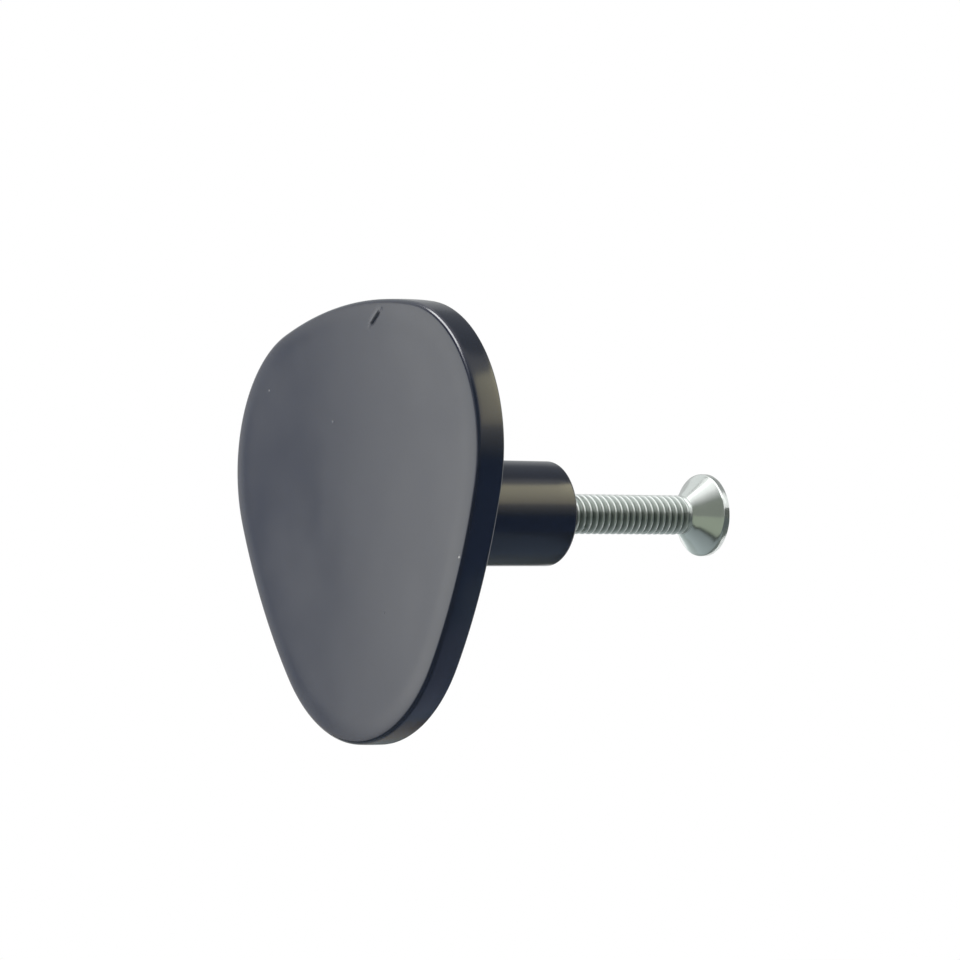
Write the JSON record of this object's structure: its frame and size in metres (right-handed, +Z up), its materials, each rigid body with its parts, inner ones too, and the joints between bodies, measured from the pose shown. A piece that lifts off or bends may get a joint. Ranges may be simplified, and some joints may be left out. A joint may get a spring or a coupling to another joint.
{
  "type": "cabinet knob",
  "caption": "Cabinet knob with a flat rounded-triangle plate in satin black on a round neck, held to a door by a zinc-plated countersunk machine screw from behind.",
  "frame": {"origin": "centre of the neck's seat face, where the neck meets the door front", "axes": "+Y along the screw, out of the seat face and away from the plate's front; +Z up, towards the plate's wide end"},
  "size_m": [0.046, 0.0421, 0.0422],
  "materials": {
    "black_coat": "satin black coat on a zinc casting",
    "zinc_plate": "bright zinc plate on steel"
  },
  "bodies": {
    "root": {"knob_body": "black_coat", "mounting_screw": "zinc_plate"}
  },
  "joints": []
}
